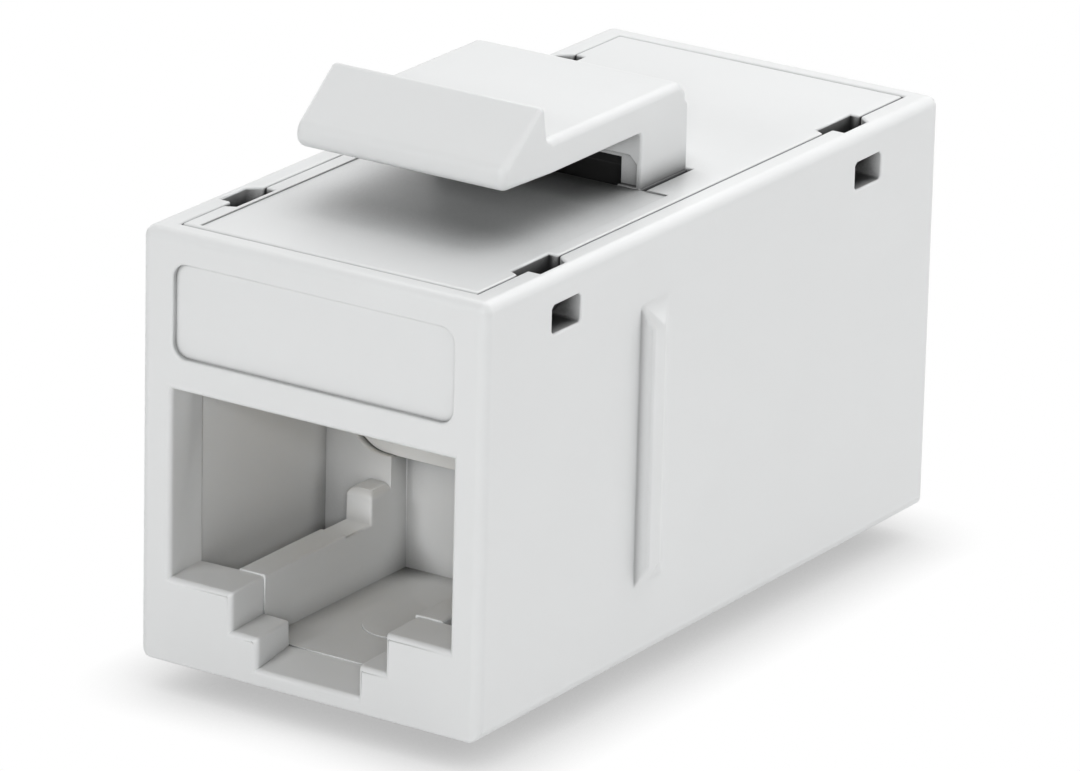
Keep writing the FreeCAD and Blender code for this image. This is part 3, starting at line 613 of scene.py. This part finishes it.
def hollow_faces(shape):
    """Walls and roof of the hollow up through the cover into the riser, with deeper painted shade."""
    chosen = []
    lines = latch_lines()
    half_hollow = lines["half_width"] - RISER_WALL
    back = lines["riser_back"] - RISER_WALL
    top = lines["cover_top"] + RISER_HOLLOW
    for face in shape.faces:
        middle = face.calc_center_median() / MM
        beside = abs(middle.x) < half_hollow + HOLLOW_MARGIN
        along = lines["riser_front"] + BRIDGE_DEPTH + HOLLOW_MARGIN < middle.y < back + HOLLOW_MARGIN
        roof = abs(middle.z - top) < HOLLOW_MARGIN
        wall = abs(face.normal.z) < UPRIGHT_LIMIT and middle.z < top
        if beside and along and (roof or wall):
            chosen.append(face)
    return chosen


def cover_plate(material):
    """The cover without its riser, which the latch piece carries."""
    lines = latch_lines()
    shape = merged_shape("top_cover")
    cut_along(shape, Vector((0, 0, lines["cover_top"] * MM)), (0, 0, 1), clear_outer=True)
    rims = [edge for edge in shape.edges if edge.is_boundary]
    bmesh.ops.triangle_fill(shape, use_beauty=True, edges=rims, normal=Vector((0, 0, 1)))
    bmesh.ops.dissolve_limit(shape, angle_limit=FLAT_ANGLE, verts=shape.verts, edges=shape.edges)
    shape.normal_update()
    # Deeper painted shade on the faces of the hollow under the riser
    set_painted_shade_extras(shape, hollow_faces, HOLLOW_PAINTED_SHADE_EXTRA)
    weigh_sharp_edges(shape, COVER_EDGE)
    piece = finished_piece("cover_plate", shape, COVER_EDGE, material)
    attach(piece, COUPLER)
    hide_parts("top_cover")


def rounded_outline(corners):
    """Closed outline through corners (along, up, corner radius, side radius): points with side radii."""
    points = []
    for index, (along, up, radius, side_radius) in enumerate(corners):
        corner = Vector((along, up))
        if radius == 0:
            points.append((corner, side_radius))
            continue
        before = (Vector(corners[index - 1][:2]) - corner).normalized()
        after = (Vector(corners[(index + 1) % len(corners)][:2]) - corner).normalized()
        half_angle = before.angle(after) / 2
        centre = corner + (before + after).normalized() * radius / math.sin(half_angle)
        start = corner + before * radius / math.tan(half_angle) - centre
        end = corner + after * radius / math.tan(half_angle) - centre
        turn = start.angle_signed(end)
        for step in range(ARC_STEPS + 1):
            spin = Matrix.Rotation(-turn * step / ARC_STEPS, 2)
            points.append((centre + spin @ start, side_radius))
    return points


def latch_outline(lines):
    """Side view of riser, arm and wedge head, with loops along the arm for its bend."""
    arm_end = CATCH_LINE + CATCH_FOOT_ROUND * 2
    arm_root = lines["riser_front"] - ARM_ROOT_ROUND * 2
    loops = [arm_end + (arm_root - arm_end) * step / ARM_LOOPS for step in range(ARM_LOOPS + 1)]
    foot = lines["cover_top"] - FOOT_DEPTH
    back, front, nose = lines["riser_back"], lines["riser_front"], lines["nose"]
    top, low = lines["arm_top"], lines["arm_low"]
    crest = lines["crest"] + CREST_ROUND * CREST_LOSS
    corners = [
        (back, foot, 0, LOW_SIDE_ROUND),
        (back, top - RISER_BACK_ROUND * RISER_BACK_BLEND, 0, LOW_SIDE_ROUND),
        (back, top, RISER_BACK_ROUND, TOP_SIDE_ROUND),
        *[(along, top, 0, TOP_SIDE_ROUND) for along in reversed(loops)],
        (CATCH_LINE, top, CATCH_FOOT_ROUND, CREST_SIDE_ROUND),
        (CATCH_LINE - CREST_BACK, crest, CREST_ROUND, CREST_SIDE_ROUND),
        (nose, low + NOSE_HEIGHT, NOSE_TOP_ROUND, TOP_SIDE_ROUND),
        (nose, low, NOSE_LOW_ROUND, TOP_SIDE_ROUND),
        *[(along, low, 0, LOW_SIDE_ROUND) for along in loops],
        (front, low, ARM_ROOT_ROUND, LOW_SIDE_ROUND),
        (front, foot, 0, LOW_SIDE_ROUND),
    ]
    return rounded_outline(corners)


def bridge_rings(shape, rings):
    """Walls between each ring of points and the next, and a face on each end."""
    count = len(rings[0])
    for one, two in zip(rings, rings[1:]):
        for start in range(count):
            end = (start + 1) % count
            shape.faces.new((one[start], one[end], two[end], two[start]))
    shape.faces.new(rings[0])
    shape.faces.new(rings[-1])
    bmesh.ops.recalc_face_normals(shape, faces=shape.faces)


def side_rounded_solid(outline, half_width):
    """Outline in Y and Z, swept across X, with each point's own rounding at the two sides."""
    points = [point for point, _ in outline]
    before, after = points[-1:] + points[:-1], points[1:] + points[:1]
    turns = [Vector(ahead - behind).normalized() for behind, ahead in zip(before, after)]
    inward = [Vector((-turn.y, turn.x)) for turn in turns]
    area = sum(one.x * two.y - two.x * one.y for one, two in zip(points, after))
    if area < 0:
        inward = [-course for course in inward]
    shape = bmesh.new()
    rings = []
    for side in (-1, 1):
        angles = [math.pi / 2 * step / SIDE_STEPS for step in range(SIDE_STEPS + 1)]
        for angle in reversed(angles) if side < 0 else angles:
            ring = []
            for (point, radius), course in zip(outline, inward):
                place = point + course * radius * (1 - math.cos(angle))
                across = side * (half_width - radius * (1 - math.sin(angle)))
                ring.append(shape.verts.new(Vector((across, place.x, place.y)) * MM))
            rings.append(ring)
    bridge_rings(shape, rings)
    return shape


def plain_solid(outline, axis, low, high):
    """Outline swept straight along X or Y into a closed solid."""
    shape = bmesh.new()
    rings = []
    for level in (low, high):
        if axis == "X":
            places = [Vector((level, along, up)) for along, up in outline]
        else:
            places = [Vector((across, level, up)) for across, up in outline]
        rings.append([shape.verts.new(place * MM) for place in places])
    bridge_rings(shape, rings)
    return shape


def temporary_object(name, shape):
    """Object made from a mesh in the editor, which is freed."""
    mesh = bpy.data.meshes.new(name)
    shape.to_mesh(mesh)
    shape.free()
    return in_scene(name, mesh)


def cut_away(shape, cutters):
    """The shape less each cutter, as a new mesh in the editor."""
    body = temporary_object("cut body", shape)
    tools = [temporary_object("cutter", cutter) for cutter in cutters]
    for tool in tools:
        cut = body.modifiers.new("cut", "BOOLEAN")
        cut.operation = "DIFFERENCE"
        cut.solver = "EXACT"
        cut.object = tool
    bpy.context.view_layer.update()
    evaluated = body.evaluated_get(bpy.context.evaluated_depsgraph_get())
    result = bmesh.new()
    result.from_mesh(evaluated.to_mesh())
    evaluated.to_mesh_clear()
    for item in (body, *tools):
        bpy.data.objects.remove(item)
    return result


def riser_cutters(lines):
    """The hollow inside the riser and the shallow recess with cut corners in its front."""
    half_hollow = lines["half_width"] - RISER_WALL
    hollow_top = lines["cover_top"] + RISER_HOLLOW
    hollow_back = lines["riser_back"] - RISER_WALL
    ahead = lines["riser_front"] - CUTTER_MARGIN
    below = lines["cover_top"] - FOOT_DEPTH * 2
    hollow = [(ahead, below), (hollow_back, below), (hollow_back, hollow_top), (ahead, hollow_top)]
    half_bridge = lines["half_width"] - BRIDGE_MARGIN
    bridge_top = lines["cover_top"] + BRIDGE_HEIGHT
    recess = [
        (-half_bridge, below),
        (half_bridge, below),
        (half_bridge, bridge_top - BRIDGE_CHAMFER),
        (half_bridge - BRIDGE_CHAMFER, bridge_top),
        (-half_bridge + BRIDGE_CHAMFER, bridge_top),
        (-half_bridge, bridge_top - BRIDGE_CHAMFER),
    ]
    recess_back = lines["riser_front"] + BRIDGE_DEPTH
    return [
        plain_solid(hollow, "X", -half_hollow, half_hollow),
        plain_solid(recess, "Y", ahead, recess_back),
    ]


def latch_with_riser(material):
    """Riser, springy arm and wedge head in one moulding that bends at the arm's root."""
    lines = latch_lines()
    shape = side_rounded_solid(latch_outline(lines), lines["half_width"])
    shape = cut_away(shape, riser_cutters(lines))
    bmesh.ops.remove_doubles(shape, verts=shape.verts, dist=MERGE_DISTANCE * MM)
    shape.normal_update()
    # Deeper painted shade on the faces of the riser's hollow
    set_painted_shade_extras(shape, hollow_faces, HOLLOW_PAINTED_SHADE_EXTRA)
    weigh_sharp_edges(shape, RISER_CUT_EDGE)
    piece = finished_piece("latch_with_riser", shape, RISER_CUT_EDGE, material)
    bend_start = Vector((0, lines["riser_front"], lines["arm_low"])) * MM
    bend_end = Vector((0, BEND_END, lines["arm_low"])) * MM
    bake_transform(piece, COUPLER, LATCH, start=bend_start, end=bend_end)
    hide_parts("latch")


# Contacts, carriers and board
def tail_top(node):
    """Middle of the top of a contact's solder tail."""
    spots = [vertex.co for vertex in frame["nodes"][node].data.vertices]
    highest = max(spot.z for spot in spots)
    top = [spot for spot in spots if highest - spot.z < MERGE_DISTANCE * MM]
    return sum(top, Vector()) / len(top)


def solder_tree(material):
    """Geometry nodes: a concave cone of solder on every point."""
    tree = bpy.data.node_groups.new("solder joints", "GeometryNodeTree")
    tree.interface.new_socket("Tails", in_out="INPUT", socket_type="NodeSocketGeometry")
    for label in ("Foot Radius", "Top Radius", "Height"):
        tree.interface.new_socket(label, in_out="INPUT", socket_type="NodeSocketFloat")
    tree.interface.new_socket("Joints", in_out="OUTPUT", socket_type="NodeSocketGeometry")
    inputs = tree.nodes.new("NodeGroupInput").outputs
    cone = tree.nodes.new("GeometryNodeMeshCone")
    cone.inputs["Vertices"].default_value = SOLDER_SIDES
    cone.inputs["Side Segments"].default_value = SOLDER_RINGS
    tree.links.new(inputs["Top Radius"], cone.inputs["Radius Top"])
    tree.links.new(inputs["Foot Radius"], cone.inputs["Radius Bottom"])
    tree.links.new(inputs["Height"], cone.inputs["Depth"])
    axes = split(tree, tree.nodes.new("GeometryNodeInputPosition").outputs[0])
    rise = math_node(tree, "DIVIDE", axes["Z"], inputs["Height"])
    sag = math_node(tree, "MULTIPLY", rise, math_node(tree, "SUBTRACT", 1.0, rise))
    waist = math_node(tree, "SUBTRACT", 1.0, math_node(tree, "MULTIPLY", sag, SOLDER_WAIST))
    narrowed = tree.nodes.new("ShaderNodeCombineXYZ")
    for axis in ("X", "Y"):
        tree.links.new(math_node(tree, "MULTIPLY", axes[axis], waist), narrowed.inputs[axis])
    tree.links.new(axes["Z"], narrowed.inputs["Z"])
    shaped = tree.nodes.new("GeometryNodeSetPosition")
    tree.links.new(cone.outputs["Mesh"], shaped.inputs["Geometry"])
    tree.links.new(narrowed.outputs[0], shaped.inputs["Position"])
    copies = tree.nodes.new("GeometryNodeInstanceOnPoints")
    tree.links.new(inputs["Tails"], copies.inputs["Points"])
    tree.links.new(shaped.outputs["Geometry"], copies.inputs["Instance"])
    whole = tree.nodes.new("GeometryNodeRealizeInstances")
    tree.links.new(copies.outputs["Instances"], whole.inputs["Geometry"])
    painted = tree.nodes.new("GeometryNodeSetMaterial")
    painted.inputs["Material"].default_value = material
    tree.links.new(whole.outputs["Geometry"], painted.inputs["Geometry"])
    result = tree.nodes.new("NodeGroupOutput")
    tree.links.new(painted.outputs["Geometry"], result.inputs["Joints"])
    return tree


def solder_joints(material):
    """Solder round every tail, on the board's upper face."""
    board_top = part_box("circuit_board")[1].z
    spots = []
    for port in PORTS:
        for number in range(1, CONTACTS_PER_PORT + 1):
            tail = tail_top(f"{port}_contact_{number}")
            spots.append((tail.x, tail.y, board_top))
    points = bpy.data.meshes.new("solder points")
    points.from_pydata(spots, [], [])
    maker = in_scene("solder maker", points)
    modifier = maker.modifiers.new("solder joints", "NODES")
    modifier.node_group = solder_tree(material)
    sizes = {"Foot Radius": SOLDER_FOOT, "Top Radius": SOLDER_TOP, "Height": SOLDER_HEIGHT}
    for item in modifier.node_group.interface.items_tree:
        if item.name in sizes:
            modifier[item.identifier] = sizes[item.name] * MM
    graph = bpy.context.evaluated_depsgraph_get()
    mesh = bpy.data.meshes.new_from_object(maker.evaluated_get(graph))
    mesh.name = "solder_joints"
    bpy.data.objects.remove(maker)
    mesh.polygons.foreach_set("use_smooth", [len(face.vertices) == 4 for face in mesh.polygons])
    piece = in_scene("solder_joints", mesh)
    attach(piece, COUPLER)


# Stage, light and camera
def seen_by_eye(tree):
    """1 for camera, mirror and glass rays, 0 for the rays that carry light."""
    path = tree.nodes.new("ShaderNodeLightPath")
    direct = math_node(tree, "MAXIMUM", path.outputs["Is Camera Ray"], path.outputs["Is Glossy Ray"])
    return math_node(tree, "MAXIMUM", direct, path.outputs["Is Transmission Ray"])


def pale_floor():
    """Pale floor, seen as white with a painted contact shadow round the coupler; it casts no shadow."""
    half = FLOOR_HALF * MM
    mesh = bpy.data.meshes.new("floor")
    corners = [(-half, -half, 0), (half, -half, 0), (half, half, 0), (-half, half, 0)]
    mesh.from_pydata(corners, [], [(0, 1, 2, 3)])
    floor = in_scene("floor", mesh)
    material, tree, shader = new_material("pale floor")
    shader.inputs["Base Color"].default_value = FLOOR_COLOUR
    shader.inputs["Roughness"].default_value = FLOOR_ROUGHNESS
    # Painted contact shadow: the glow seen on the floor darkens where the coupler closes the room above it
    shade = tree.nodes.new("ShaderNodeAmbientOcclusion")
    shade.samples = SHADE_SAMPLES
    shade.inputs["Distance"].default_value = CONTACT_SHADE_REACH * MM
    darkest = 1 - CONTACT_SHADE_DEPTH
    lightness = math_node(tree, "MULTIPLY_ADD", shade.outputs["AO"], CONTACT_SHADE_DEPTH, darkest)
    glow = tree.nodes.new("ShaderNodeEmission")
    tree.links.new(lightness, glow.inputs["Color"])
    mix = tree.nodes.new("ShaderNodeMixShader")
    tree.links.new(seen_by_eye(tree), mix.inputs["Fac"])
    tree.links.new(shader.outputs[0], mix.inputs[1])
    tree.links.new(glow.outputs[0], mix.inputs[2])
    tree.links.new(mix.outputs[0], tree.nodes["Material Output"].inputs["Surface"])
    mesh.materials.append(material)
    floor.visible_shadow = False


def white_room():
    """Background that is seen as white and lights the coupler faintly, from horizon and dome."""
    world = bpy.data.worlds.new("white room")
    world.use_nodes = True
    tree = world.node_tree
    light = tree.nodes["Background"]
    light.inputs["Color"].default_value = WHITE
    height = split(tree, tree.nodes.new("ShaderNodeTexCoord").outputs["Generated"])["Z"]
    horizon = tree.nodes.new("ShaderNodeMapRange")
    dome = tree.nodes.new("ShaderNodeMapRange")
    bands = ((horizon, 0.0, HORIZON_TOP, HORIZON_GLOW, 0.0), (dome, DOME_START, 1.0, 0.0, DOME_GLOW))
    for band, low, high, low_glow, high_glow in bands:
        band.interpolation_type = "SMOOTHSTEP"
        band.inputs["From Min"].default_value = low
        band.inputs["From Max"].default_value = high
        band.inputs["To Min"].default_value = low_glow
        band.inputs["To Max"].default_value = high_glow
        tree.links.new(height, band.inputs["Value"])
    glow = math_node(tree, "ADD", horizon.outputs["Result"], dome.outputs["Result"])
    glow = math_node(tree, "MULTIPLY", glow, math_node(tree, "GREATER_THAN", height, 0.0))
    tree.links.new(glow, light.inputs["Strength"])
    seen = tree.nodes.new("ShaderNodeBackground")
    seen.inputs["Color"].default_value = WHITE
    mix = tree.nodes.new("ShaderNodeMixShader")
    tree.links.new(seen_by_eye(tree), mix.inputs["Fac"])
    tree.links.new(light.outputs[0], mix.inputs[1])
    tree.links.new(seen.outputs[0], mix.inputs[2])
    tree.links.new(mix.outputs[0], tree.nodes["World Output"].inputs["Surface"])
    bpy.context.scene.world = world


def soft_box(name, azimuth, elevation, width, power):
    """Square lamp that points at the coupler; azimuth 0 is in front of it and 90 on its right."""
    turn, rise = math.radians(azimuth), math.radians(elevation)
    level = math.cos(rise)
    towards = Vector((math.sin(turn) * level, -math.cos(turn) * level, math.sin(rise)))
    data = bpy.data.lights.new(name, "AREA")
    data.size = width * MM
    data.energy = power
    lamp = in_scene(name, data)
    lamp.location = (towards * LAMP_DISTANCE + Vector((0, 0, LAMP_HEIGHT))) * MM
    lamp.rotation_euler = towards.to_track_quat("Z", "Y").to_euler()


def photograph_camera():
    """Camera at the photograph's viewing angle."""
    azimuth, elevation, roll = (
        math.radians(angle) for angle in (CAMERA_AZIMUTH, CAMERA_ELEVATION, CAMERA_ROLL)
    )
    level = math.cos(elevation)
    back = Vector((math.sin(azimuth) * level, -math.cos(azimuth) * level, math.sin(elevation)))
    right = Vector((math.cos(azimuth), math.sin(azimuth), 0))
    up = back.cross(right)
    place = Vector(CAMERA_AIM) + back * CAMERA_DISTANCE
    place += right * CAMERA_SLIDE[0] + up * CAMERA_SLIDE[1]
    rolled_right = right * math.cos(roll) + up * math.sin(roll)
    rolled_up = up * math.cos(roll) - right * math.sin(roll)
    data = bpy.data.cameras.new("photograph camera")
    data.lens = CAMERA_LENS
    data.sensor_width = SENSOR_WIDTH
    data.clip_start = CAMERA_CLIP * MM
    camera = in_scene("photograph camera", data)
    turn = Matrix((rolled_right, rolled_up, back)).transposed().to_4x4()
    camera.matrix_world = Matrix.Translation(place * MM) @ turn
    bpy.context.scene.camera = camera


def dress_coupler():
    """Every piece of the coupler, with its material."""
    finish_and_painted_shade = make_finish_and_painted_shade()
    # Each plastic darkens its own colour with painted shade, at its own reach and shares
    shell, lid, latch = (
        plastic_with_painted_shade(name, finish_and_painted_shade, SHELL_COLOUR, SHELL_ROUGHNESS, painted_shade)
        for name, painted_shade in (
            ("housing plastic and painted shade", HOUSING_PAINTED_SHADE),
            ("cover plastic and painted shade", COVER_PAINTED_SHADE),
            ("latch plastic and painted shade", LATCH_PAINTED_SHADE),
        )
    )
    insert = plastic_with_painted_shade("insert plastic and painted shade", finish_and_painted_shade, CARRIER_COLOUR, INSERT_ROUGHNESS, INSERT_PAINTED_SHADE)
    gold = plated_contact()
    moulded_copy(
        "housing", "housing_shell", PORT_EDGE, shell,
        housing_edge, HOUSING_SEAMS, (port_faces, PORT_PAINTED_SHADE_EXTRA),
    )
    cover_plate(lid)
    latch_with_riser(latch)
    moulded_copy("circuit_board", "green_board", BOARD_EDGE, solder_mask())
    solder_joints(tinned_solder())
    for port in PORTS:
        carrier = f"{port}_contact_carrier"
        moulded_copy(carrier, f"{port}_insert", CARRIER_EDGE, insert)
        for number in range(1, CONTACTS_PER_PORT + 1):
            contact = f"{port}_contact_{number}"
            moulded_copy(contact, f"{port}_spring_{number}", CONTACT_EDGE, gold)


dress_coupler()
pale_floor()
white_room()
for lamp_name, setting in SOFT_BOXES.items():
    soft_box(lamp_name, *setting)
photograph_camera()
bpy.context.scene.view_settings.view_transform = "Standard"
